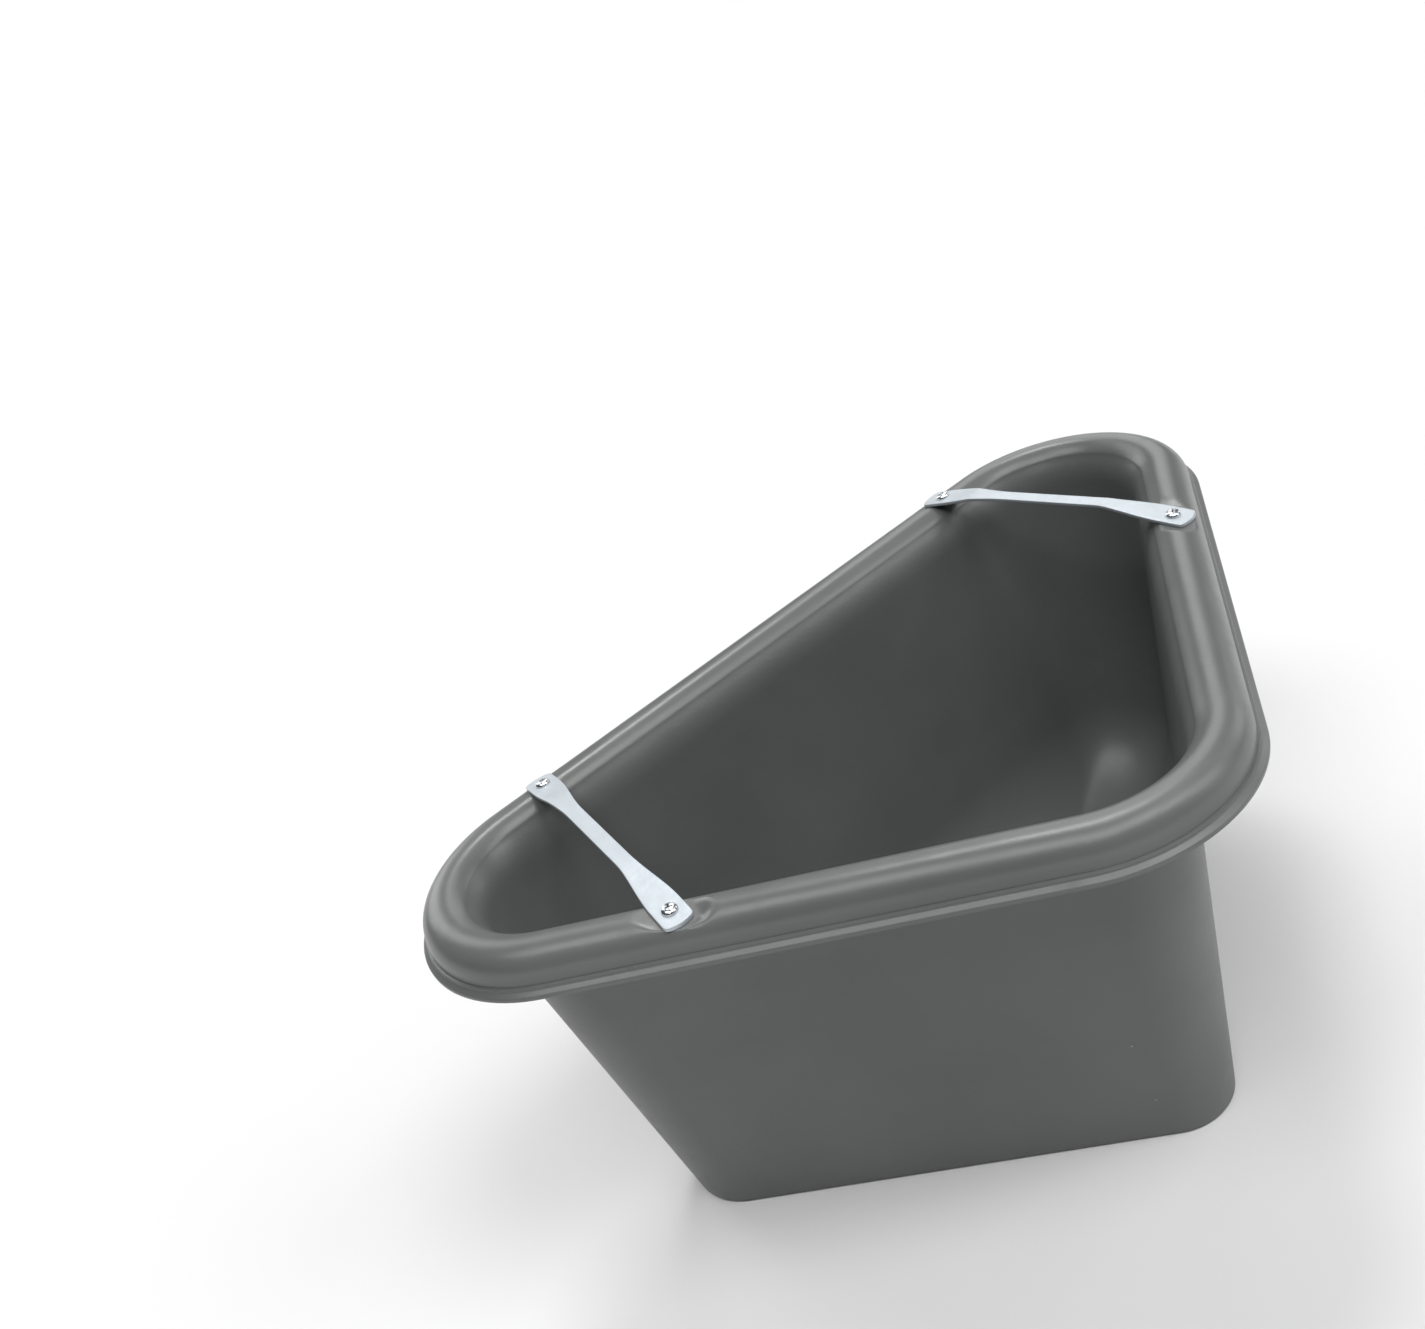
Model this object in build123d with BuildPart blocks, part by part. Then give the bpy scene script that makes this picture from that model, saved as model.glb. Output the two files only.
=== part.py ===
"""Corner feed bucket for a stable: a moulded trough hung in a tubular wall frame.

The trough is a right-angled triangle in plan, its right angle towards the corner of the stable (+Y) and
its long side, the front, towards the animal (-Y). The frame stands under the hollow rim, and the trough
lifts straight up off it. Millimetres, +Z up, origin at the centre of the base of the bounding box.
"""

import os
from math import cos, radians, sin, sqrt, tan

from build123d import *

# Trough: insets are measured inwards from the outermost line of the rim's bead.
RIM_LEG = 720.0
TROUGH_HEIGHT = 308.0
SQUARE_CORNER_RADIUS = 113.0
ACUTE_CORNER_RADIUS = 111.0
SKIN = 4.0
WALL = 3.2
CROWN_SKIN = 8.0
FLOOR = 5.0
BASE_INSET = 75.7
BASE_SQUARE_RADIUS = 40.3
BASE_ACUTE_RADIUS = 46.4
BASE_EDGE_RADIUS = 3.0

# Rim section: insets, and drops below the crown.
LIP_DROP = 30.0
WALL_TOP_INSET = 45.4
CROWN_INSET = 24.0
SIDE_INSET = 5.8
DOME_DROP = 17.3
BEAD_EDGE_INSET = 0.8
BEAD_TOE_DROP = 29.2
BEAD_BROW_DROP = 27.0
GROOVE_INSET = 3.8
GROOVE_FOOT_DROP = 24.7
GROOVE_TOP_DROP = 23.2
LEDGE_DROP = 22.8
SHOULDER_INSET = 31.0
SHOULDER_DROP = 1.6
CREASE_INSET = 38.9
CREASE_DROP = 7.8
FLANK_FOOT_INSET = 46.6
FLANK_FOOT_DROP = 27.0
FLANK_SLOPE = 58.0
UNDER_FLANK_INSET = 41.4
UNDER_FLANK_DROP = 20.0
UNDER_CREASE_INSET = 35.6
UNDER_CREASE_DROP = 12.5
UNDER_SHOULDER_INSET = 28.5
UNDER_SHOULDER_DROP = 8.6

# Frame: one bent tube, open at the square corner.
TUBE_DIAMETER = 26.9
TUBE_WALL = 2.3
TUBE_INSET = 24.3
TUBE_DROP = 24.0
LEG_END_GAP = 100.0
WALL_HOLE_DIAMETER = 7.0
WALL_HOLE_REACHES = (175.0, 347.0)

# Corner bars, their seats in the rim, and the screws that hold them.
FRONT_SCREW_INSET = 32.0
REAR_SCREW_INSET = 24.0
BAR_FRONT_X = 204.6
BAR_REAR_X = 238.0
BAR_THICKNESS = 2.6
BAR_END_WIDTH = 21.0
BAR_WAIST_WIDTH = 11.2
BAR_FLARE_START = 10.0
BAR_FLARE_END = 60.0
BAR_FLARE_RADIUS = 60.0
FRONT_OVERHANG = 14.0
REAR_OVERHANG = 12.0
BAR_TIP_BULGE = 2.5
BAR_TIP_CORNER_RADIUS = 2.5
FRONT_TAB_LENGTH = 32.0
REAR_TAB_LENGTH = 55.0
TAB_SLOPE = 8.5
FRONT_TAB_RISE = 1.3
REAR_TAB_SINK = 4.0
TAB_BEND_RADIUS = 40.0
SEAT_GAP = 0.1
SEAT_MARGIN = 2.0
SEAT_LENGTH = 20.0
BAR_HOLE_DIAMETER = 6.0
PILOT_DIAMETER = 5.5
SCREW_SHANK_DIAMETER = 5.2
SCREW_LENGTH = 9.0
SCREW_POINT = 2.0
SCREW_POINT_DIAMETER = 1.5
HEAD_DIAMETER = 11.0
HEAD_HEIGHT = 3.2
HEAD_EDGE = 0.8
RECESS_SPAN = 5.6
RECESS_SLOT = 1.3
RECESS_DEPTH = 2.0

# Places worked out from the sizes above.
CORNER_RISE = SQUARE_CORNER_RADIUS * (sqrt(2) - 1)
DEPTH = RIM_LEG / sqrt(2) - CORNER_RISE
FRONT_Y = -DEPTH / 2
APEX_Y = DEPTH / 2 + CORNER_RISE
LIP_Z = TROUGH_HEIGHT - LIP_DROP
DRAFT_SLOPE = (BASE_INSET - WALL_TOP_INSET) / LIP_Z
UP = Vector(0, 0, 1)


def corners(inset):
    """Sharp corners of the plan triangle at an inset: square corner, right tip, left tip."""
    apex = APEX_Y - inset * sqrt(2)
    front = FRONT_Y + inset
    return (0, apex), (apex - front, front), (front - apex, front)


def rim_radii(inset):
    """Square and acute corner radii of a line that runs parallel to the bead."""
    return SQUARE_CORNER_RADIUS - inset, ACUTE_CORNER_RADIUS - inset


def wall_radii(height, inwards):
    """Corner radii of the drafted wall, which tighten from the lip down to the base."""
    share = height / LIP_Z
    square = BASE_SQUARE_RADIUS + share * (SQUARE_CORNER_RADIUS - WALL_TOP_INSET - BASE_SQUARE_RADIUS)
    acute = BASE_ACUTE_RADIUS + share * (ACUTE_CORNER_RADIUS - WALL_TOP_INSET - BASE_ACUTE_RADIUS)
    return square - inwards, acute - inwards, acute - inwards


def wall_inset(height, inwards):
    """Inset of the drafted wall's outer face, or of a face further in."""
    return BASE_INSET - height * DRAFT_SLOPE + inwards


# Screw places at crown height; a bar's tabs stand a little above or below them, and slope outwards.
front_seat = Vector(BAR_FRONT_X, FRONT_Y + FRONT_SCREW_INSET, TROUGH_HEIGHT)
rear_seat = Vector(BAR_REAR_X, APEX_Y - REAR_SCREW_INSET * sqrt(2) - BAR_REAR_X, TROUGH_HEIGHT)
bar_run = rear_seat - front_seat
bar_span = bar_run.length
bar_plane = Plane(origin=front_seat, x_dir=bar_run, z_dir=UP)
tab_fall = tan(radians(TAB_SLOPE))


def bar_side_plane(side):
    """Upright plane along a bar, right for 1 and left for -1: x from its front screw to its rear one, y up."""
    along = Vector(side * bar_run.X, bar_run.Y, 0)
    origin = Vector(side * front_seat.X, front_seat.Y, front_seat.Z)
    return Plane(origin=origin, x_dir=along, z_dir=along.cross(UP))


def tab_plane(along, height, outwards):
    """Top face of a bar's tab at its screw, tilted down towards the tip; outwards is -1 in front, 1 behind."""
    lean = bar_plane.x_dir * (outwards * sin(radians(TAB_SLOPE)))
    normal = lean + UP * cos(radians(TAB_SLOPE))
    seat = bar_plane.from_local_coords(Vector(along, 0, height)) + normal * BAR_THICKNESS
    return Plane(origin=seat, x_dir=bar_plane.y_dir, z_dir=normal)


def mirrored(plane):
    """The same plane on the other side of the bucket."""
    origin = Vector(-plane.origin.X, plane.origin.Y, plane.origin.Z)
    x_dir = Vector(-plane.x_dir.X, plane.x_dir.Y, plane.x_dir.Z)
    z_dir = Vector(-plane.z_dir.X, plane.z_dir.Y, plane.z_dir.Z)
    return Plane(origin=origin, x_dir=x_dir, z_dir=z_dir)


front_tab = tab_plane(0, FRONT_TAB_RISE, -1)
rear_tab = tab_plane(bar_span, -REAR_TAB_SINK, 1)
screw_planes = {
    "bar_screw_right_front": front_tab,
    "bar_screw_right_rear": rear_tab,
    "bar_screw_left_front": mirrored(front_tab),
    "bar_screw_left_rear": mirrored(rear_tab),
}

os.makedirs("parts", exist_ok=True)

# Trough: a drafted triangular tub whose wall rolls over into a hollow rim with a beaded lip.
rim_section_plane = Plane(origin=(0, FRONT_Y, TROUGH_HEIGHT), x_dir=(0, 1, 0), z_dir=(1, 0, 0))
dome_centre = (CROWN_INSET, -DOME_DROP)
dome_reach = CROWN_INSET - SIDE_INSET
flank_slope = (cos(radians(FLANK_SLOPE)), -sin(radians(FLANK_SLOPE)))
pilot_depth = BAR_THICKNESS + 2 * CROWN_SKIN

# Under-faces of the two tabs, out past their tips: distances along the bar, and heights from the crown.
front_tip = FRONT_OVERHANG + BAR_TIP_BULGE
rear_tip = REAR_OVERHANG + BAR_TIP_BULGE
front_under = FRONT_TAB_RISE - SEAT_GAP
rear_under = -REAR_TAB_SINK - SEAT_GAP
front_end = front_tip + SEAT_MARGIN
rear_end = rear_tip + SEAT_MARGIN
front_seat_low = (-front_end, front_under - front_end * tab_fall)
front_seat_high = (SEAT_LENGTH, front_under + SEAT_LENGTH * tab_fall)
rear_seat_low = (bar_span + rear_end, rear_under - rear_end * tab_fall)
rear_seat_high = (bar_span - SEAT_LENGTH, rear_under + SEAT_LENGTH * tab_fall)
seat_outlines = (
    (front_seat_low, front_seat_high, (-front_end, front_seat_high[1])),
    (rear_seat_low, rear_seat_high, (rear_seat_low[0], SEAT_LENGTH * tab_fall)),
)

with BuildPart() as trough_shell:
    for height in (0, LIP_Z):
        with BuildSketch(Plane.XY.offset(height)):
            with BuildLine():
                FilletPolyline(*corners(wall_inset(height, 0)), radius=wall_radii(height, 0), close=True)
            make_face()
    loft(ruled=True)
    fillet(trough_shell.edges().group_by(Axis.Z)[0], radius=BASE_EDGE_RADIUS)

    for height in (FLOOR, LIP_Z):
        with BuildSketch(Plane.XY.offset(height)):
            with BuildLine():
                FilletPolyline(*corners(wall_inset(height, WALL)), radius=wall_radii(height, WALL), close=True)
            make_face()
    loft(ruled=True, mode=Mode.SUBTRACT)

    with BuildLine(Plane.XY.offset(TROUGH_HEIGHT)) as crown_line:
        square, right, left = corners(CROWN_INSET)
        square_radius, acute_radius = rim_radii(CROWN_INSET)
        FilletPolyline((0, right[1]), right, square, left,
                       radius=(0, acute_radius, square_radius, acute_radius), close=True)
    with BuildSketch(rim_section_plane):
        with BuildLine():
            Polyline((SIDE_INSET + SKIN, -DOME_DROP), (SIDE_INSET + SKIN, -LIP_DROP),
                     (BEAD_EDGE_INSET, -LIP_DROP), (0, -BEAD_TOE_DROP), (0, -BEAD_BROW_DROP),
                     (GROOVE_INSET, -GROOVE_FOOT_DROP), (GROOVE_INSET, -GROOVE_TOP_DROP),
                     (SIDE_INSET, -LEDGE_DROP), (SIDE_INSET, -DOME_DROP))
            EllipticalCenterArc(dome_centre, dome_reach, DOME_DROP, start_angle=90, arc_size=90)
            crown = TangentArc((CROWN_INSET, 0), (SHOULDER_INSET, -SHOULDER_DROP), tangent=(1, 0))
            shoulder = TangentArc(crown @ 1, (CREASE_INSET, -CREASE_DROP), tangent=crown % 1)
            flank = TangentArc(shoulder @ 1, (FLANK_FOOT_INSET, -FLANK_FOOT_DROP), tangent=flank_slope)
            Polyline(flank @ 1, (WALL_TOP_INSET + WALL, -LIP_DROP), (WALL_TOP_INSET, -LIP_DROP),
                     (UNDER_FLANK_INSET, -UNDER_FLANK_DROP), (UNDER_CREASE_INSET, -UNDER_CREASE_DROP),
                     (UNDER_SHOULDER_INSET, -UNDER_SHOULDER_DROP), (CROWN_INSET, -CROWN_SKIN))
            EllipticalCenterArc(dome_centre, dome_reach - SKIN, DOME_DROP - CROWN_SKIN,
                                start_angle=90, arc_size=90)
        make_face()
    sweep(path=crown_line.wires()[0])

    for side in (1, -1):
        for outline in seat_outlines:
            with BuildSketch(bar_side_plane(side)):
                with BuildLine():
                    Polyline(*outline, close=True)
                make_face()
            extrude(amount=BAR_END_WIDTH / 2 + SEAT_MARGIN, both=True, mode=Mode.SUBTRACT)

    for plane in screw_planes.values():
        with BuildSketch(plane):
            Circle(PILOT_DIAMETER / 2)
        extrude(amount=-pilot_depth, mode=Mode.SUBTRACT)

trough_shell.part.label = "trough_shell"
export_step(trough_shell.part, "parts/trough_shell.step")

# Frame: a tube bent twice, with two screw holes through each leg, square to the stable wall.
tube_z = TROUGH_HEIGHT - TUBE_DROP
tube_bend_radius = ACUTE_CORNER_RADIUS - TUBE_INSET
tube_apex, tube_right, tube_left = corners(TUBE_INSET)
leg_end_x = LEG_END_GAP / sqrt(2)

with BuildPart() as tube_frame:
    with BuildLine(Plane.XY.offset(tube_z)) as tube_line:
        FilletPolyline((-leg_end_x, tube_apex[1] - leg_end_x), tube_left, tube_right,
                       (leg_end_x, tube_apex[1] - leg_end_x), radius=tube_bend_radius)
    with BuildSketch(Plane(origin=tube_line.line @ 0, z_dir=tube_line.line % 0)):
        Circle(TUBE_DIAMETER / 2)
        Circle(TUBE_DIAMETER / 2 - TUBE_WALL, mode=Mode.SUBTRACT)
    sweep(path=tube_line.wires()[0])

    for side in (-1, 1):
        wallwards = Vector(side, 1, 0).normalized()
        for reach in WALL_HOLE_REACHES:
            along = reach / sqrt(2)
            on_axis = Vector(side * along, tube_apex[1] - along, tube_z)
            with BuildSketch(Plane(origin=on_axis, z_dir=wallwards)):
                Circle(WALL_HOLE_DIAMETER / 2)
            extrude(amount=TUBE_DIAMETER, both=True, mode=Mode.SUBTRACT)

tube_frame.part.label = "tube_frame"
export_step(tube_frame.part, "parts/tube_frame.step")

# Corner bars: flat steel, waisted between two wide tabs that slope down over the rim.
front_mid = FRONT_TAB_RISE + BAR_THICKNESS / 2
rear_mid = BAR_THICKNESS / 2 - REAR_TAB_SINK
half_end = BAR_END_WIDTH / 2
half_waist = BAR_WAIST_WIDTH / 2

with BuildPart() as corner_bar_right:
    with BuildSketch(bar_side_plane(1)):
        with BuildLine():
            FilletPolyline((-front_tip, front_mid - front_tip * tab_fall),
                           (FRONT_TAB_LENGTH, front_mid + FRONT_TAB_LENGTH * tab_fall),
                           (bar_span - REAR_TAB_LENGTH, rear_mid + REAR_TAB_LENGTH * tab_fall),
                           (bar_span + rear_tip, rear_mid - rear_tip * tab_fall), radius=TAB_BEND_RADIUS)
        trace(line_width=BAR_THICKNESS)
    extrude(amount=BAR_END_WIDTH, both=True)

    with BuildSketch(bar_plane) as bar_outline:
        with BuildLine():
            edge = FilletPolyline((-FRONT_OVERHANG, half_end), (BAR_FLARE_START, half_end),
                                  (BAR_FLARE_END, half_waist), (bar_span - BAR_FLARE_END, half_waist),
                                  (bar_span - BAR_FLARE_START, half_end),
                                  (bar_span + REAR_OVERHANG, half_end), radius=BAR_FLARE_RADIUS)
            mirror(edge, about=Plane.XZ)
            ThreePointArc(edge @ 0, (-front_tip, 0), (-FRONT_OVERHANG, -half_end))
            ThreePointArc(edge @ 1, (bar_span + rear_tip, 0), (bar_span + REAR_OVERHANG, -half_end))
        make_face()
        fillet(bar_outline.vertices().group_by(Axis.X)[0], radius=BAR_TIP_CORNER_RADIUS)
        fillet(bar_outline.vertices().group_by(Axis.X)[-1], radius=BAR_TIP_CORNER_RADIUS)
    extrude(amount=BAR_END_WIDTH, both=True, mode=Mode.INTERSECT)

    for plane in (front_tab, rear_tab):
        with BuildSketch(plane):
            Circle(BAR_HOLE_DIAMETER / 2)
        extrude(amount=2 * BAR_THICKNESS, both=True, mode=Mode.SUBTRACT)

corner_bar_right.part.label = "corner_bar_right"
export_step(corner_bar_right.part, "parts/corner_bar_right.step")

with BuildPart() as corner_bar_left:
    mirror(corner_bar_right.part, about=Plane.YZ)

corner_bar_left.part.label = "corner_bar_left"
export_step(corner_bar_left.part, "parts/corner_bar_left.step")

# Bar screws: short pan-head screws with a cross recess, driven into the thick crown of the rim.
for name, plane in screw_planes.items():
    side_plane = Plane(origin=plane.origin, x_dir=plane.x_dir, z_dir=-plane.y_dir)
    with BuildPart() as bar_screw:
        with BuildSketch(side_plane):
            with BuildLine():
                head_rim = Polyline((0, 0), (HEAD_DIAMETER / 2, 0), (HEAD_DIAMETER / 2, HEAD_EDGE))
                dome = TangentArc((0, HEAD_HEIGHT), head_rim @ 1, tangent=(1, 0))
                Line(dome @ 0, head_rim @ 0)
            make_face()
        revolve(axis=Axis(plane.origin, plane.z_dir))

        with BuildSketch(side_plane):
            with BuildLine():
                Polyline((0, 0), (SCREW_SHANK_DIAMETER / 2, 0),
                         (SCREW_SHANK_DIAMETER / 2, SCREW_POINT - SCREW_LENGTH),
                         (SCREW_POINT_DIAMETER / 2, -SCREW_LENGTH), (0, -SCREW_LENGTH), close=True)
            make_face()
        revolve(axis=Axis(plane.origin, plane.z_dir))

        with BuildSketch(plane.offset(HEAD_HEIGHT)):
            Rectangle(RECESS_SPAN, RECESS_SLOT)
            Rectangle(RECESS_SLOT, RECESS_SPAN)
        extrude(amount=-RECESS_DEPTH, mode=Mode.SUBTRACT)

    bar_screw.part.label = name
    export_step(bar_screw.part, f"parts/{name}.step")
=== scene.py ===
"""Looks of the corner feed bucket: a grey moulded trough on a galvanised wall frame, in a white studio.

Metres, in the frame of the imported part: +Z up, the trough's square corner towards +Y, its long front
side towards -Y. Insets are measured inwards, in plan, from the outermost line of the rim's bead.
"""

import math

import bmesh
import bpy
from mathutils import Matrix, Vector


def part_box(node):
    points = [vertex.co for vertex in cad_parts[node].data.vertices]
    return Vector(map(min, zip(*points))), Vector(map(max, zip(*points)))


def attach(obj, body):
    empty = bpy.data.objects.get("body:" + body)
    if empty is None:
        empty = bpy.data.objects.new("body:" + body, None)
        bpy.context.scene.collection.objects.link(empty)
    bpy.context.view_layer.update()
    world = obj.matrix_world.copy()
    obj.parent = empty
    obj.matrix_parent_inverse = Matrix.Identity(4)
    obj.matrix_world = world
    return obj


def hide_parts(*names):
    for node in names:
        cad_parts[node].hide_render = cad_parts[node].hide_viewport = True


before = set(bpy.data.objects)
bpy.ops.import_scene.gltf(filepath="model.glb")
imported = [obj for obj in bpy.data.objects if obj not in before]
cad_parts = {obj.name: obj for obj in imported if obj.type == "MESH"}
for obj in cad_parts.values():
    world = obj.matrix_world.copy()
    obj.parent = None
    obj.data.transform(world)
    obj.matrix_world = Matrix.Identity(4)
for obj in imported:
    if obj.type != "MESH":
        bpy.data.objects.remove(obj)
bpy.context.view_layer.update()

MM = 0.001
ROOT2 = math.sqrt(2)

# Trough, as the part's source has it.
SQUARE_RADIUS = 113 * MM
ACUTE_RADIUS = 111 * MM
LIP_DROP = 30 * MM
WALL_TOP_INSET = 45.4 * MM
WALL = 3.2 * MM
FLOOR = 5 * MM
BASE_INSET = 75.7 * MM
BASE_SQUARE_RADIUS = 40.3 * MM
BASE_ACUTE_RADIUS = 46.4 * MM
BASE_EDGE_RADIUS = 3 * MM
CROWN_INSET = 24 * MM
SIDE_INSET = 5.8 * MM
DOME_DROP = 17.3 * MM
SKIN = 4 * MM
CROWN_SKIN = 8 * MM

trough_low, trough_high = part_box("trough_shell")
tube_low, tube_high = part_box("tube_frame")
RIM_Z = trough_high.z
LIP_Z = RIM_Z - LIP_DROP
FRONT_Y = trough_low.y
APEX_Y = trough_high.y + SQUARE_RADIUS * (ROOT2 - 1)
MIDDLE = Vector((0, FRONT_Y + (APEX_Y - FRONT_Y) * (ROOT2 - 1), 0))
TUBE_RADIUS = (tube_high.z - tube_low.z) / 2
TUBE_Z = (tube_high.z + tube_low.z) / 2


# ---------------------------------------------------------------- outlines

def plan_corners(inset):
    """Sharp corners of the plan triangle at an inset: square corner, left tip, right tip."""
    apex = APEX_Y - inset * ROOT2
    front = FRONT_Y + inset
    return Vector((0, apex)), Vector((front - apex, front)), Vector((apex - front, front))


def rounded(corner, before, after, radius, steps):
    """Points of the arc that rounds a corner, from the side of `before` to the side of `after`."""
    inward = (before - corner).normalized()
    outward = (after - corner).normalized()
    half = inward.angle(outward) / 2
    centre = corner + (inward + outward).normalized() * (radius / math.sin(half))
    start = corner + inward * (radius / math.tan(half)) - centre
    sweep = -math.copysign(math.pi - 2 * half, inward.cross(outward))
    points = []
    for i in range(steps + 1):
        turn = sweep * i / steps
        points.append(centre + Matrix.Rotation(turn, 2) @ start)
    return points


CORNER_STEPS = 40
SIDE_STEPS = 150


def ring(inset, square_radius, acute_radius, z):
    """One closed level line of the trough. Every ring has the same number of points, in the same order."""
    corners = plan_corners(inset)
    radii = (square_radius, acute_radius, acute_radius)
    arcs = []
    for i in range(3):
        arcs.append(rounded(corners[i], corners[i - 1], corners[(i + 1) % 3], radii[i], CORNER_STEPS))
    points = []
    for i in range(3):
        points += arcs[i]
        start, end = arcs[i][-1], arcs[(i + 1) % 3][0]
        points += [start.lerp(end, k / SIDE_STEPS) for k in range(1, SIDE_STEPS)]
    return [Vector((p.x, p.y, z)) for p in points]


def arc(centre, reach, rise, start, end, steps):
    """Points of an elliptical arc in (inset, drop); angles in degrees from the inset axis."""
    points = []
    for i in range(steps + 1):
        a = math.radians(start + (end - start) * i / steps)
        points.append((centre[0] + reach * math.cos(a), centre[1] + rise * math.sin(a)))
    return points


def bezier(p0, p1, p2, p3, steps):
    """Points of a cubic curve, without its first."""
    points = []
    for i in range(1, steps + 1):
        t = i / steps
        s = 1 - t
        weights = (s * s * s, 3 * s * s * t, 3 * s * t * t, t * t * t)
        points.append(tuple(sum(w * p[k] for w, p in zip(weights, (p0, p1, p2, p3))) for k in (0, 1)))
    return points


def line(p0, p1, steps):
    """Evenly spaced points of a straight stretch, without its first."""
    return [(p0[0] + (p1[0] - p0[0]) * i / steps, p0[1] + (p1[1] - p0[1]) * i / steps)
            for i in range(1, steps + 1)]


# ---------------------------------------------------------------- meshes

def new_object(name, bm):
    """Puts a finished shape into the scene as an object of that name."""
    mesh = bpy.data.meshes.new(name)
    bm.to_mesh(mesh)
    bm.free()
    mesh.update()
    piece = bpy.data.objects.new(name, mesh)
    bpy.context.scene.collection.objects.link(piece)
    return piece


def loft(name, rings, closed_along=False):
    """A skin of quads over rings that have equal counts; its two ends are capped, or joined together."""
    bm = bmesh.new()
    rows = [[bm.verts.new(p) for p in points] for points in rings]
    count = len(rows[0])
    pairs = list(zip(rows, rows[1:]))
    if closed_along:
        pairs.append((rows[-1], rows[0]))
    for low, high in pairs:
        for i in range(count):
            j = (i + 1) % count
            bm.faces.new((low[i], low[j], high[j], high[i]))
    if not closed_along:
        bm.faces.new(list(reversed(rows[0])))
        bm.faces.new(rows[-1])
    bmesh.ops.recalc_face_normals(bm, faces=bm.faces)
    for face in bm.faces:
        face.smooth = True
    return new_object(name, bm)


# ---------------------------------------------------------------- corner bars' places

FRONT_SCREW_INSET = 32 * MM
REAR_SCREW_INSET = 24 * MM
BAR_FRONT_X = 204.6 * MM
BAR_REAR_X = 238 * MM
BAR_THICKNESS = 2.6 * MM
BAR_END_HALF = 10.5 * MM
BAR_WAIST_HALF = 5.6 * MM
BAR_TIP_BULGE = 2.5 * MM
FRONT_TIP = 16.5 * MM
REAR_TIP = 14.5 * MM
BAR_FLARE_START = 6 * MM
BAR_FLARE_END = 64 * MM
BAR_EDGE = 0.5 * MM
FRONT_TAB_LENGTH = 32 * MM
REAR_TAB_LENGTH = 55 * MM
TAB_SLOPE = math.radians(8.5)
TAB_FALL = math.tan(TAB_SLOPE)
FRONT_TAB_RISE = 1.3 * MM
REAR_TAB_SINK = 4 * MM
TAB_BEND = 0.15 * MM
SEAT_MARGIN = 2 * MM
SEAT_ROUNDING = 11 * MM
SEAT_GAP = 0.1 * MM
SEAT_LENGTH = 30 * MM  # inwards from its screw

front_seat = Vector((BAR_FRONT_X, FRONT_Y + FRONT_SCREW_INSET, RIM_Z))
rear_seat = Vector((BAR_REAR_X, APEX_Y - REAR_SCREW_INSET * ROOT2 - BAR_REAR_X, RIM_Z))
BAR_SPAN = (rear_seat - front_seat).length
along_bar = (rear_seat - front_seat).normalized()
across_bar = Vector((-along_bar.y, along_bar.x, 0))


def smooth_step(value, low, high):
    """0 up to a low value, 1 from a high one, and an even S between them."""
    share = min(1, max(0, (value - low) / (high - low)))
    return share * share * (3 - 2 * share)


def seated(point):
    """A point of the rim's skin, pressed down where one of the four tabs has its shallow seat."""
    local = Vector((abs(point.x), point.y, RIM_Z)) - front_seat
    u, v = local.dot(along_bar), abs(local.dot(across_bar))
    height = point.z - RIM_Z
    side = 1 - smooth_step(v, BAR_END_HALF + SEAT_MARGIN / 2, BAR_END_HALF + SEAT_MARGIN + SEAT_ROUNDING)
    for beyond, reach, under in ((-u, FRONT_TIP, FRONT_TAB_RISE), (u - BAR_SPAN, REAR_TIP, -REAR_TAB_SINK)):
        if beyond > -SEAT_LENGTH and side > 0:
            end = smooth_step(beyond, reach + SEAT_MARGIN / 2, reach + SEAT_MARGIN + SEAT_ROUNDING)
            press = side * (1 - end)
            bottom = under - SEAT_GAP - beyond * TAB_FALL
            if height > bottom:
                height += (bottom - height) * press
    return Vector((point.x, point.y, RIM_Z + height))


# ---------------------------------------------------------------- trough

def mm(*pairs):
    """Points given in millimetres, in the scene's metres."""
    return [(x * MM, y * MM) for x, y in pairs]


SOFT_STEPS = 3


def soft_corner(before, corner, after, reach):
    """A corner between two straight stretches, rounded over a short reach; without their far ends."""
    points = []
    for other in (before, after):
        span = math.dist(corner, other)
        share = min(reach / span, 0.5)
        points.append(tuple(corner[k] + (other[k] - corner[k]) * share for k in (0, 1)))
    start, end = points
    return [start] + bezier(start, corner, corner, end, SOFT_STEPS)


def soft_line(points, reaches):
    """An open line whose inner corners are rounded, each over its own reach."""
    rounded_line = [points[0]]
    for i in range(1, len(points) - 1):
        rounded_line += soft_corner(points[i - 1], points[i], points[i + 1], reaches[i - 1])
    return rounded_line + [points[-1]]


# The rim's section as (inset, drop), from the lip's foot outwards and up, then down to the wall's top.
BEAD = mm((0.1, -30), (0, -27.2))
GROOVE = mm((3.8, -24.6), (3.9, -23.1))
LEDGE_DROP = 22.8 * MM
LIP_ROUNDINGS = (0.8 * MM, 1.0 * MM, 1.1 * MM, 0.9 * MM, 0.5 * MM, 0.8 * MM)
CROWN_CURVE = mm((24, 0), (26.5, 0), (28.8, -0.4), (31, -1.5))
SHOULDER_CURVE = mm((31, -1.5), (33.6, -2.8), (36.6, -4.9), (38.9, -7.8))
THROAT_CURVE = mm((38.9, -7.8), (41.4, -12.6), (46.6, -17), (48.6, -30))
DOME_STEPS = 26
CROWN_STEPS = 8
SHOULDER_STEPS = 10
THROAT_STEPS = 18


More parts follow.
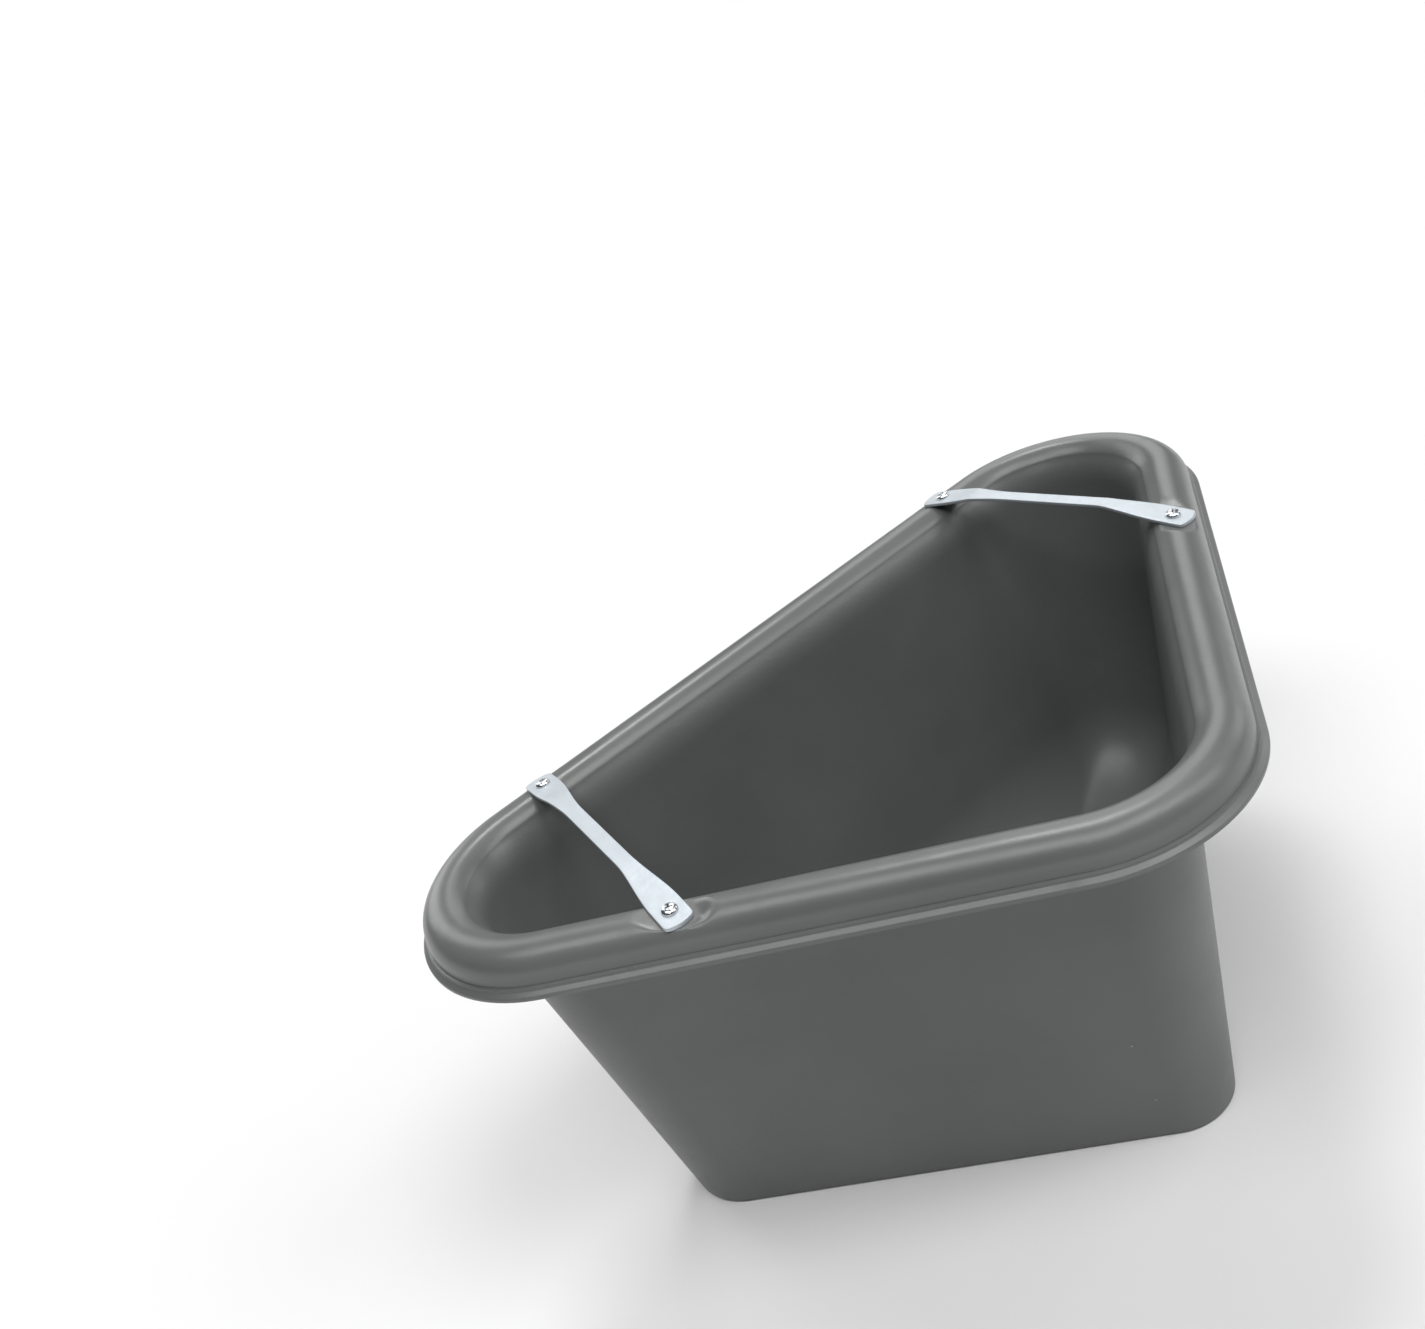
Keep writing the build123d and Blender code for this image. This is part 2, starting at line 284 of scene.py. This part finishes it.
def rim_skin():
    """The outside of the rim as (inset, drop): the lip's inner foot, bead, ledge, dome and throat."""
    foot = SIDE_INSET + SKIN
    lip = [(foot, -DOME_DROP), (foot, -LIP_DROP), *BEAD, *GROOVE]
    lip += [(SIDE_INSET, -LEDGE_DROP), (SIDE_INSET, -DOME_DROP)]
    points = soft_line(lip, LIP_ROUNDINGS)
    points += arc((CROWN_INSET, -DOME_DROP), CROWN_INSET - SIDE_INSET, DOME_DROP, 180, 90, DOME_STEPS)[1:]
    points += bezier(*CROWN_CURVE, CROWN_STEPS)
    points += bezier(*SHOULDER_CURVE, SHOULDER_STEPS)
    points += bezier(*THROAT_CURVE, THROAT_STEPS)
    return points


LINING_BENDS = mm((41.4, -20), (35.6, -12.5), (28.5, -8.6))
LINING_STEPS = (4, 3, 3, 2)
LINING_ARC_STEPS = 14


def rim_lining():
    """The inside of the hollow rim as (inset, drop), from the wall's outer face back to the lip's foot."""
    points = [(WALL_TOP_INSET, -LIP_DROP)]
    for bend, steps in zip([*LINING_BENDS, (CROWN_INSET, -CROWN_SKIN)], LINING_STEPS):
        points += line(points[-1], bend, steps)
    reach = CROWN_INSET - SIDE_INSET - SKIN
    points += arc((CROWN_INSET, -DOME_DROP), reach, DOME_DROP - CROWN_SKIN, 90, 180, LINING_ARC_STEPS)[1:-1]
    return points


LEAST_CORNER = 30 * MM  # radius towards which the bowl's corners level out


def wall_line(z):
    """Inset and corner radii of the drafted wall's outer face, which tighten towards the base."""
    share = z / LIP_Z
    inset = BASE_INSET + share * (WALL_TOP_INSET - BASE_INSET)
    square = BASE_SQUARE_RADIUS + share * (SQUARE_RADIUS - WALL_TOP_INSET - BASE_SQUARE_RADIUS)
    acute = BASE_ACUTE_RADIUS + share * (ACUTE_RADIUS - WALL_TOP_INSET - BASE_ACUTE_RADIUS)
    return inset, square, acute


def wall_ring(z, inwards):
    """A level line of the drafted wall."""
    inset, square, acute = wall_line(z)
    return ring(inset + inwards, square - inwards, acute - inwards, z)


def floor_ring(z, reach):
    """A level line of the bowl between wall and floor, whose corners level out at a least radius."""
    inset, *corners = wall_line(z)
    spare = [corner - WALL - LEAST_CORNER for corner in corners]
    square, acute = [LEAST_CORNER + extra * math.exp(-reach / extra) for extra in spare]
    return ring(inset + WALL + reach, square, acute, z)


def rim_ring(inset, drop):
    return ring(inset, SQUARE_RADIUS - inset, ACUTE_RADIUS - inset, RIM_Z + drop)


def shrunk(points, share):
    """A flat ring drawn in towards the trough's middle, to a share of its size."""
    middle = Vector((MIDDLE.x, MIDDLE.y, points[0].z))
    return [p.lerp(middle, 1 - share) for p in points]


WALL_ROWS = 26
EDGE_STEPS = 6
BOWL_STEPS = 20
BOWL_RADIUS = 80 * MM
FLAT_SHARES = (0.35, 0.7, 0.92)
TROUGH_CREASE = math.radians(34)


def build_trough():
    """The moulded shell as one closed skin: up inside, over the rim, under it, and down outside."""
    floor = floor_ring(FLOOR, BOWL_RADIUS)
    rings = [shrunk(floor, share) for share in FLAT_SHARES]
    for i in range(BOWL_STEPS + 1):
        a = math.pi / 2 * i / BOWL_STEPS
        rings.append(floor_ring(FLOOR + BOWL_RADIUS * (1 - math.cos(a)), BOWL_RADIUS * (1 - math.sin(a))))
    start = FLOOR + BOWL_RADIUS
    rings += [wall_ring(start + (LIP_Z - start) * i / WALL_ROWS, WALL) for i in range(1, WALL_ROWS)]
    rings += [[seated(p) for p in rim_ring(*place)] for place in reversed(rim_skin())]
    rings += [rim_ring(*p) for p in reversed(rim_lining())]
    rings += [wall_ring(LIP_Z + (BASE_EDGE_RADIUS - LIP_Z) * i / WALL_ROWS, 0) for i in range(1, WALL_ROWS)]
    for i in range(EDGE_STEPS + 1):
        a = math.pi / 2 * i / EDGE_STEPS
        rings.append(wall_ring(BASE_EDGE_RADIUS * (1 - math.sin(a)), BASE_EDGE_RADIUS * (1 - math.cos(a))))
    base = wall_ring(0, BASE_EDGE_RADIUS)
    rings += [shrunk(base, share) for share in reversed(FLAT_SHARES)]
    trough = loft("trough", rings)
    trough.data.set_sharp_from_angle(angle=TROUGH_CREASE)
    return trough


# ---------------------------------------------------------------- frame tube

BEND_STEPS = 28
LEG_STEPS = 44
FRONT_STEPS = 60
TUBE_SIDES = 40
TUBE_WALL = 2.3 * MM
TUBE_INSET = 24.3 * MM
LEG_END_GAP = 100 * MM
WALL_HOLE_RADIUS = 3.5 * MM
WALL_HOLE_REACHES = (175 * MM, 347 * MM)
BEND_DENT = 0.5 * MM
WRINKLE_DENT = 0.35 * MM
WRINKLE_STEPS = (2, 5)
END_BURR = 0.5 * MM
ROD_SIDES = 24
METAL_CREASE = math.radians(40)


def tube_line():
    """Centreline of the bent tube from the left leg's open end, round the front, to the right leg's."""
    apex, left, right = plan_corners(TUBE_INSET)
    radius = ACUTE_RADIUS - TUBE_INSET
    left_end = apex + (left - apex).normalized() * LEG_END_GAP
    right_end = apex + (right - apex).normalized() * LEG_END_GAP
    left_bend = rounded(left, apex, right, radius, BEND_STEPS)
    right_bend = rounded(right, left, apex, radius, BEND_STEPS)
    points = [left_end.lerp(left_bend[0], i / LEG_STEPS) for i in range(LEG_STEPS)]
    points += left_bend
    points += [left_bend[-1].lerp(right_bend[0], i / FRONT_STEPS) for i in range(1, FRONT_STEPS)]
    points += right_bend
    points += [right_bend[-1].lerp(right_end, i / LEG_STEPS) for i in range(1, LEG_STEPS + 1)]
    return points


def tube_ring(centre, side, radius, dent=0.0):
    """A round of the tube; a dent pulls in the side that faces the inside of a bend."""
    points = []
    for i in range(TUBE_SIDES):
        a = 2 * math.pi * i / TUBE_SIDES
        pull = dent * max(0.0, math.cos(a)) ** 3
        offset = side * (math.cos(a) * (radius - pull))
        points.append(Vector((centre.x + offset.x, centre.y + offset.y, TUBE_Z + math.sin(a) * radius)))
    return points


def cut(piece, cutters):
    """Takes the cutters' shapes out of a piece, for good."""
    for cutter in cutters:
        change = piece.modifiers.new("cut", "BOOLEAN")
        change.operation = "DIFFERENCE"
        change.solver = "EXACT"
        change.object = cutter
    bpy.context.view_layer.update()
    graph = bpy.context.evaluated_depsgraph_get()
    mesh = bpy.data.meshes.new_from_object(piece.evaluated_get(graph))
    piece.modifiers.clear()
    piece.data = mesh
    for cutter in cutters:
        bpy.data.objects.remove(cutter)


def rod(place, axis, radius, length):
    """A round cutter centred on a place."""
    bm = bmesh.new()
    turn = axis.to_track_quat("Z", "Y").to_matrix().to_4x4()
    bmesh.ops.create_cone(bm, cap_ends=True, segments=ROD_SIDES, radius1=radius, radius2=radius,
                          depth=length, matrix=Matrix.Translation(place) @ turn)
    return new_object("cutter", bm)


def build_tube():
    """The bent tube with its bore, its four wall holes and a faint wrinkle where each bend starts."""
    points = tube_line()
    last = len(points) - 1
    bend_starts = (LEG_STEPS, LEG_STEPS + BEND_STEPS + FRONT_STEPS)
    outer, inner, sides = [], [], []
    for i, point in enumerate(points):
        ahead = (points[min(i + 1, last)] - points[max(i - 1, 0)]).normalized()
        side = Vector((-ahead.y, ahead.x))
        dent = 0.0
        for start in bend_starts:
            step = i - start
            if 0 <= step <= BEND_STEPS:
                dent = BEND_DENT * math.sin(math.pi * step / BEND_STEPS)
                dent += WRINKLE_DENT * (step in WRINKLE_STEPS)
        outer.append(tube_ring(point, side, TUBE_RADIUS, dent))
        inner.append(tube_ring(point, side, TUBE_RADIUS - TUBE_WALL))
        sides.append(side)
    ends = []
    for end, next_in in ((0, 1), (last, last - 1)):
        ahead = (points[next_in] - points[end]).normalized() * END_BURR
        outer[end] = [p + Vector((ahead.x, ahead.y, 0)) for p in outer[end]]
        ends.append(tube_ring(points[end], sides[end], TUBE_RADIUS - END_BURR))
    rings = [ends[0]] + outer + [ends[1]] + list(reversed(inner))
    tube = loft("wall_frame", rings, closed_along=True)
    apex = plan_corners(TUBE_INSET)[0]
    cutters = []
    for side in (-1, 1):
        for reach in WALL_HOLE_REACHES:
            along = reach / ROOT2
            place = Vector((side * along, apex.y - along, TUBE_Z))
            cutters.append(rod(place, Vector((side, 1, 0)), WALL_HOLE_RADIUS, 3 * TUBE_RADIUS))
    cut(tube, cutters)
    tube.data.set_sharp_from_angle(angle=METAL_CREASE)
    return tube


# ---------------------------------------------------------------- corner bars

TIP_POWER = 8
TIP_STATIONS = 16
TIP_CROWDING = 2.2
FIRST_SHARE = 0.001  # keeps the very tip from closing to a point
MIDDLE_STATIONS = 70
BAR_EDGE_STEPS = 4
BAR_FACE_STEPS = 6
BAR_HOLE_RADIUS = 3 * MM


def bar_half_width(u):
    """Half width of a bar at a distance u from its front screw: wide tabs with bowed tips, and a waist."""
    share = smooth_step(min(u, BAR_SPAN - u), BAR_FLARE_START, BAR_FLARE_END)
    body = BAR_END_HALF + (BAR_WAIST_HALF - BAR_END_HALF) * share
    bow = (BAR_END_HALF ** 2 + BAR_TIP_BULGE ** 2) / (2 * BAR_TIP_BULGE)
    inside = min(u + FRONT_TIP, BAR_SPAN + REAR_TIP - u, bow)
    tip = math.sqrt(2 * bow * inside - inside ** 2)
    return body * (1 + (body / tip) ** TIP_POWER) ** (-1 / TIP_POWER)


def smooth_lower(a, b):
    """The lower of two heights, with the bend between them rounded."""
    return (a + b) / 2 - math.sqrt(((a - b) / 2) ** 2 + TAB_BEND ** 2)


def bar_height(u):
    """Height of a bar's middle above the crown: two tabs that fall outwards, and a straight run between."""
    half = BAR_THICKNESS / 2
    front = FRONT_TAB_RISE + half + u * TAB_FALL
    rear = half - REAR_TAB_SINK + (BAR_SPAN - u) * TAB_FALL
    front_bend = FRONT_TAB_RISE + half + FRONT_TAB_LENGTH * TAB_FALL
    rear_bend = half - REAR_TAB_SINK + REAR_TAB_LENGTH * TAB_FALL
    run = (u - FRONT_TAB_LENGTH) / (BAR_SPAN - FRONT_TAB_LENGTH - REAR_TAB_LENGTH)
    middle = front_bend + (rear_bend - front_bend) * run
    return smooth_lower(smooth_lower(front, middle), rear)


def bar_stations():
    """Distances along a bar, close together at its bowed tips."""
    shares = [(i / TIP_STATIONS) ** TIP_CROWDING for i in range(TIP_STATIONS + 1)]
    shares[0] = FIRST_SHARE
    front = [-FRONT_TIP * (1 - share) for share in shares]
    rear = [BAR_SPAN + REAR_TIP * (1 - share) for share in shares]
    middle = [BAR_SPAN * i / MIDDLE_STATIONS for i in range(1, MIDDLE_STATIONS)]
    return front + middle + list(reversed(rear))


def bar_section(half_width):
    """Rounded rectangle, across and up, wound once round."""
    edge = min(BAR_EDGE, half_width * 0.9)
    points = []
    for corner, (sx, sz) in enumerate(((1, 1), (-1, 1), (-1, -1), (1, -1))):
        for i in range(BAR_EDGE_STEPS + 1):
            a = math.radians(90 * (corner + i / BAR_EDGE_STEPS))
            points.append((sx * (half_width - edge) + edge * math.cos(a),
                           sz * (BAR_THICKNESS / 2 - edge) + edge * math.sin(a)))
        if corner in (0, 2):
            for k in range(1, BAR_FACE_STEPS):
                across = sx * (half_width - edge) * (1 - 2 * k / BAR_FACE_STEPS)
                points.append((across, sz * BAR_THICKNESS / 2))
    return points


def build_bar(name, side):
    """A flat bar from its front screw to its rear one; side is 1 on the right and -1 on the left."""
    rings = []
    for u in bar_stations():
        centre = front_seat + along_bar * u + Vector((0, 0, bar_height(u)))
        points = [centre + across_bar * y + Vector((0, 0, z)) for y, z in bar_section(bar_half_width(u))]
        rings.append([Vector((p.x * side, p.y, p.z)) for p in points])
    bar = loft(name, rings)
    holes = []
    for seat in screw_places(side):
        holes.append(rod(seat.translation, seat.col[2].xyz, BAR_HOLE_RADIUS, 4 * BAR_THICKNESS))
    cut(bar, holes)
    bar.data.set_sharp_from_angle(angle=METAL_CREASE)
    return bar


def screw_places(side):
    """Frames of the front and rear screw seats on a bar's tabs: z is the screw's axis."""
    places = []
    for seat, height, outwards in ((front_seat, FRONT_TAB_RISE, -1), (rear_seat, -REAR_TAB_SINK, 1)):
        axis = along_bar * (outwards * math.sin(TAB_SLOPE)) + Vector((0, 0, math.cos(TAB_SLOPE)))
        place = seat + Vector((0, 0, height)) + axis * BAR_THICKNESS
        place.x *= side
        axis.x *= side
        x_axis = axis.orthogonal().normalized()
        columns = Matrix((x_axis, axis.cross(x_axis), axis)).transposed().to_4x4()
        places.append(Matrix.Translation(place) @ columns)
    return places


# ---------------------------------------------------------------- bar screws

HEAD_RADIUS = 5.5 * MM
HEAD_HEIGHT = 3.2 * MM
SHANK_RADIUS = 2.6 * MM
SCREW_LENGTH = 9 * MM
THREAD_PITCH = 1.6 * MM
THREAD_DEPTH = 0.45 * MM
THREAD_ROWS = 48
POINT_LENGTH = 2.2 * MM
POINT_SHARE = 0.15
SCREW_SIDES = 32
SCREW_CREASE = math.radians(35)
HEAD_DOME = mm((0.9, -0.01), (2.4, -0.1), (3.8, -0.45), (4.8, -1.1), (5.3, -1.8))
HEAD_SIDE_HEIGHT = 0.9 * MM
HEAD_CHAMFER = 0.15 * MM
RECESS_DEPTH = 2 * MM
RECESS_OVERCUT = 1 * MM
RECESS_FOOT = (1.2 * MM, 0.4 * MM)
RECESS_MOUTH = (3.3 * MM, 0.75 * MM)


def screw_ring(radii, z):
    """A level round of a screw, with its own radius at each of the screw's sides."""
    points = []
    for i, radius in enumerate(radii):
        a = 2 * math.pi * i / SCREW_SIDES
        points.append(Vector((radius * math.cos(a), radius * math.sin(a), z)))
    return points


def thread_ring(z):
    """A round of the thread, which winds once round for each pitch and tapers at the screw's point."""
    taper = min(1, (SCREW_LENGTH + z) / POINT_LENGTH + POINT_SHARE)
    radii = []
    for i in range(SCREW_SIDES):
        phase = (i / SCREW_SIDES - z / THREAD_PITCH) % 1
        crest = 1 - abs(2 * phase - 1)
        radii.append((SHANK_RADIUS - THREAD_DEPTH * (1 - crest)) * taper)
    return screw_ring(radii, z)


def build_screw(name, place, turn):
    """A pan-head screw with a cross recess and a real thread; turn is how far its slots are turned."""
    profile = [(radius, HEAD_HEIGHT + drop) for radius, drop in HEAD_DOME]
    profile += [(HEAD_RADIUS, HEAD_SIDE_HEIGHT), (HEAD_RADIUS, HEAD_CHAMFER)]
    profile += [(HEAD_RADIUS - HEAD_CHAMFER, 0), (SHANK_RADIUS, 0)]
    rings = [screw_ring([radius] * SCREW_SIDES, z) for radius, z in profile]
    rings += [thread_ring(-SCREW_LENGTH * row / THREAD_ROWS) for row in range(1, THREAD_ROWS + 1)]
    screw = loft(name, rings)
    cut(screw, [recess_wing(0), recess_wing(math.pi / 2)])
    screw.data.set_sharp_from_angle(angle=SCREW_CREASE)
    screw.data.transform(place @ Matrix.Rotation(turn, 4, "Z"))
    return screw


def recess_wing(turn):
    """One slot of the cross recess: wide at the top of the head, narrow at its foot."""
    bm = bmesh.new()
    rows = []
    for (half_x, half_y), z in ((RECESS_FOOT, HEAD_HEIGHT - RECESS_DEPTH),
                                (RECESS_MOUTH, HEAD_HEIGHT + RECESS_OVERCUT)):
        corners = ((-half_x, -half_y), (half_x, -half_y), (half_x, half_y), (-half_x, half_y))
        rows.append([bm.verts.new((x, y, z)) for x, y in corners])
    for i in range(4):
        j = (i + 1) % 4
        bm.faces.new((rows[0][i], rows[0][j], rows[1][j], rows[1][i]))
    bm.faces.new(list(reversed(rows[0])))
    bm.faces.new(rows[1])
    bm.transform(Matrix.Rotation(turn, 4, "Z"))
    return new_object("cutter", bm)


# ---------------------------------------------------------------- materials

class Nodes:
    """Builds a material's nodes in few words: each call adds one node and gives back its output."""

    def __init__(self, name):
        self.material = bpy.data.materials.new(name)
        self.material.use_nodes = True
        self.tree = self.material.node_tree
        self.shader = self.tree.nodes["Principled BSDF"]
        self.place = self.add("ShaderNodeTexCoord", "Object")

    def add(self, kind, output, **inputs):
        node = self.tree.nodes.new(kind)
        for key, value in inputs.items():
            self.put(node.inputs[key.replace("_", " ")], value)
        return node.outputs[output]

    def put(self, socket, value):
        if isinstance(value, bpy.types.NodeSocket):
            self.tree.links.new(value, socket)
        else:
            socket.default_value = value

    def stretched(self, scale):
        return self.add("ShaderNodeMapping", "Vector", Vector=self.place, Scale=scale)

    def grain(self, scale, detail=3.0, place=None, roughness=0.5):
        return self.add("ShaderNodeTexNoise", "Fac", Vector=place or self.place, Scale=scale, Detail=detail,
                        Roughness=roughness)

    def ramp(self, value, low, high, out_low=0.0, out_high=1.0):
        return self.add("ShaderNodeMapRange", "Result", Value=value, From_Min=low, From_Max=high,
                        To_Min=out_low, To_Max=out_high)

    def math(self, operation, a, b):
        node = self.tree.nodes.new("ShaderNodeMath")
        node.operation = operation
        self.put(node.inputs[0], a)
        self.put(node.inputs[1], b)
        return node.outputs[0]

    def mix(self, share, a, b):
        node = self.tree.nodes.new("ShaderNodeMix")
        node.data_type = "RGBA"
        self.put(node.inputs["Factor"], share)
        self.put(node.inputs["A"], a)
        self.put(node.inputs["B"], b)
        return node.outputs["Result"]

    def bump(self, height, strength, distance, normal=None):
        node = self.tree.nodes.new("ShaderNodeBump")
        self.put(node.inputs["Height"], height)
        node.inputs["Strength"].default_value = strength
        node.inputs["Distance"].default_value = distance
        if normal is not None:
            self.put(node.inputs["Normal"], normal)
        return node.outputs["Normal"]

    def finish(self, **inputs):
        for key, value in inputs.items():
            self.put(self.shader.inputs[key.replace("_", " ")], value)
        return self.material


MATTE_FROM = RIM_Z - 55 * MM
GLOSS_FROM = RIM_Z - 12 * MM


def polyethylene():
    """Grey moulded polyethylene: faint mottling, orange-peel skin, pale nicks; glossier at the rim."""
    n = Nodes("trough_polyethylene")
    mottle = n.grain(9, 4)
    dark, pale = (0.118, 0.122, 0.121, 1), (0.138, 0.143, 0.142, 1)
    colour = n.mix(n.ramp(mottle, 0.3, 0.7), dark, pale)
    speckle = n.grain(900, 2)
    colour = n.mix(n.ramp(speckle, 0.62, 0.8, 0, 0.12), colour, (0.2, 0.2, 0.2, 1))
    nicks = n.ramp(n.grain(120, 3), 0.755, 0.79)
    patches = n.ramp(n.grain(7, 2), 0.52, 0.62)
    nicks = n.math("MULTIPLY", nicks, patches)
    colour = n.mix(n.math("MULTIPLY", nicks, 0.75), colour, (0.33, 0.34, 0.34, 1))
    scuffs = n.ramp(n.grain(60, 4, n.stretched((0.12, 1.0, 1.0))), 0.60, 0.74)
    sheen = n.ramp(n.grain(22, 5), 0.25, 0.75, 0.27, 0.36)
    height = n.add("ShaderNodeSeparateXYZ", "Z", Vector=n.place)
    matte = n.ramp(height, MATTE_FROM, GLOSS_FROM, 0.1, 0.0)
    rough = n.math("ADD", n.math("ADD", sheen, matte), n.math("MULTIPLY", scuffs, 0.10))
    peel = n.bump(n.grain(330, 2), 0.12, 0.0006)
    waves = n.bump(n.grain(26, 2), 0.10, 0.004, peel)
    pits = n.bump(nicks, 0.5, 0.0008, waves)
    return n.finish(Base_Color=colour, Roughness=rough, Normal=pits, IOR=1.5)


def galvanised():
    """Hot-dip galvanised tube: spangled zinc with streaks drawn along it."""
    n = Nodes("galvanised_tube")
    spangle = n.add("ShaderNodeTexVoronoi", "Color", Vector=n.place, Scale=150)
    grey = n.add("ShaderNodeSeparateColor", "Red", Color=spangle)
    streaks = n.grain(14, 6, n.stretched((0.35, 1.0, 5.0)), 0.6)
    colour = n.mix(n.ramp(grey, 0, 1), (0.42, 0.43, 0.44, 1), (0.60, 0.61, 0.62, 1))
    colour = n.mix(n.ramp(streaks, 0.42, 0.62, 0, 0.75), colour, (0.78, 0.79, 0.80, 1))
    rust = n.ramp(n.grain(35, 6), 0.70, 0.80, 0, 0.35)
    colour = n.mix(rust, colour, (0.28, 0.24, 0.2, 1))
    rough = n.ramp(n.grain(60, 4), 0.3, 0.7, 0.26, 0.46)
    lumps = n.bump(n.grain(160, 3), 0.15, 0.0008)
    runs = n.bump(streaks, 0.2, 0.0015, lumps)
    return n.finish(Base_Color=colour, Metallic=0.9, Roughness=rough, Normal=runs)


def zinc_plate():
    """Bright zinc-plated flat steel with a rolled grain and a bluish cast."""
    n = Nodes("zinc_plated_bar")
    speck = n.grain(1400, 2)
    cloud = n.grain(45, 4)
    colour = n.mix(n.ramp(cloud, 0.3, 0.7), (0.485, 0.53, 0.56, 1), (0.54, 0.59, 0.625, 1))
    colour = n.mix(n.ramp(speck, 0.5, 0.72, 0, 0.5), colour, (0.44, 0.48, 0.51, 1))
    rough = n.ramp(n.grain(220, 3), 0.3, 0.7, 0.42, 0.6)
    grain = n.bump(speck, 0.25, 0.0003)
    return n.finish(Base_Color=colour, Metallic=0.35, Roughness=rough, Normal=grain)


def screw_zinc():
    """Bright zinc-plated screw with slight tarnish."""
    n = Nodes("zinc_plated_screw")
    cloud = n.grain(500, 3)
    colour = n.mix(n.ramp(cloud, 0.3, 0.7), (0.62, 0.64, 0.67, 1), (0.82, 0.84, 0.86, 1))
    rough = n.ramp(n.grain(900, 2), 0.3, 0.7, 0.18, 0.34)
    return n.finish(Base_Color=colour, Metallic=1.0, Roughness=rough, Normal=n.bump(cloud, 0.1, 0.0002))


def pale_floor():
    n = Nodes("studio_floor")
    tone = n.mix(n.ramp(n.grain(1.5, 2), 0.3, 0.7), (0.735, 0.735, 0.735, 1), (0.75, 0.75, 0.75, 1))
    return n.finish(Base_Color=tone, Roughness=0.9, Specular_IOR_Level=0.1)


def dress(piece, body, material, node):
    """Gives a piece its material and body, and hides the CAD node that it stands in for."""
    piece.data.materials.clear()
    piece.data.materials.append(material)
    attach(piece, body)
    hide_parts(node)


# ---------------------------------------------------------------- the bucket

dress(build_trough(), "trough", polyethylene(), "trough_shell")
dress(build_tube(), "frame", galvanised(), "tube_frame")

SLOT_TURNS = (0.3, 0.9)
bar_steel = zinc_plate()
screw_steel = screw_zinc()
for side_name, side in (("right", 1), ("left", -1)):
    bar = build_bar(f"{side_name}_bar", side)
    dress(bar, "trough", bar_steel, f"corner_bar_{side_name}")
    for end, place, turn in zip(("front", "rear"), screw_places(side), SLOT_TURNS):
        screw = build_screw(f"{side_name}_{end}_screw", place, turn + side)
        dress(screw, "trough", screw_steel, f"bar_screw_{side_name}_{end}")


# ---------------------------------------------------------------- studio

FLOOR_REACH = 30


def add_floor():
    """A pale floor at the level of the trough's base, far wider than the view."""
    bm = bmesh.new()
    bmesh.ops.create_grid(bm, x_segments=8, y_segments=8, size=FLOOR_REACH)
    floor = new_object("floor", bm)
    floor.location.z = trough_low.z
    floor.data.materials.append(pale_floor())


def add_softbox(name, strength, azimuth, elevation, width):
    """A distant soft light, round and as many degrees wide as a large softbox looks from the bucket."""
    light = bpy.data.lights.new(name, "SUN")
    light.energy = strength
    light.angle = math.radians(width)
    lamp = bpy.data.objects.new(name, light)
    turn, rise = math.radians(azimuth), math.radians(elevation)
    direction = (math.cos(rise) * math.sin(turn), math.cos(rise) * math.cos(turn), math.sin(rise))
    lamp.rotation_euler = Vector(direction).to_track_quat("Z", "Y").to_euler()
    bpy.context.scene.collection.objects.link(lamp)


def add_world(strength):
    """Even white surroundings: dim as a light, but plain white where the camera sees past the floor."""
    world = bpy.data.worlds.new("studio")
    world.use_nodes = True
    tree = world.node_tree
    sky = tree.nodes["Background"]
    sky.inputs["Color"].default_value = (1, 1, 1, 1)
    path = tree.nodes.new("ShaderNodeLightPath")
    blend = tree.nodes.new("ShaderNodeMapRange")
    blend.inputs["To Min"].default_value = strength
    blend.inputs["To Max"].default_value = 1.0
    tree.links.new(path.outputs["Is Camera Ray"], blend.inputs["Value"])
    tree.links.new(blend.outputs["Result"], sky.inputs["Strength"])
    bpy.context.scene.world = world


CAMERA_PLACE = Vector((0.54027, 0.79746, 0.87667))
CAMERA_AZIMUTH = math.radians(26.433)
CAMERA_ELEVATION = math.radians(26.952)
CAMERA_ROLL = math.radians(-23.012)
CAMERA_LENS = 42.377
CAMERA_SENSOR = 36


def add_camera():
    """Behind the square corner's right, looking down into the trough, tilted as a hand-held shot is."""
    level = math.cos(CAMERA_ELEVATION)
    view = -Vector((level * math.sin(CAMERA_AZIMUTH), level * math.cos(CAMERA_AZIMUTH),
                    math.sin(CAMERA_ELEVATION)))
    camera = bpy.data.objects.new("camera", bpy.data.cameras.new("camera"))
    camera.data.lens = CAMERA_LENS
    camera.data.sensor_width = CAMERA_SENSOR
    camera.location = CAMERA_PLACE
    upright = view.to_track_quat("-Z", "Y").to_matrix()
    camera.rotation_euler = (upright @ Matrix.Rotation(CAMERA_ROLL, 3, "Z")).to_euler()
    bpy.context.scene.collection.objects.link(camera)
    bpy.context.scene.camera = camera


WORLD_LIGHT = 0.02
# Name, strength, azimuth, elevation and width of each light; the angles are in degrees.
SOFTBOXES = (("overhead_back_right", 0.85, 38, 62, 26), ("overhead_back_left", 1.0, 338, 62, 26),
             ("overhead_front_left", 0.95, 219, 62, 17), ("overhead_right", 0.68, 98, 66, 26),
             ("overhead_left", 0.10, 278, 62, 26), ("high_back_left", 0.55, 315, 40, 26),
             ("high_front", 0.30, 180, 40, 26), ("high_front_left", 0.30, 225, 40, 26),
             ("low_front", 0.40, 180, 18, 26), ("low_front_left", 0.22, 225, 18, 26),
             ("low_left", 0.30, 270, 18, 26), ("low_back_left", 0.16, 315, 18, 26))

add_floor()
add_world(WORLD_LIGHT)
for softbox in SOFTBOXES:
    add_softbox(*softbox)
add_camera()
bpy.context.scene.view_settings.view_transform = "Standard"
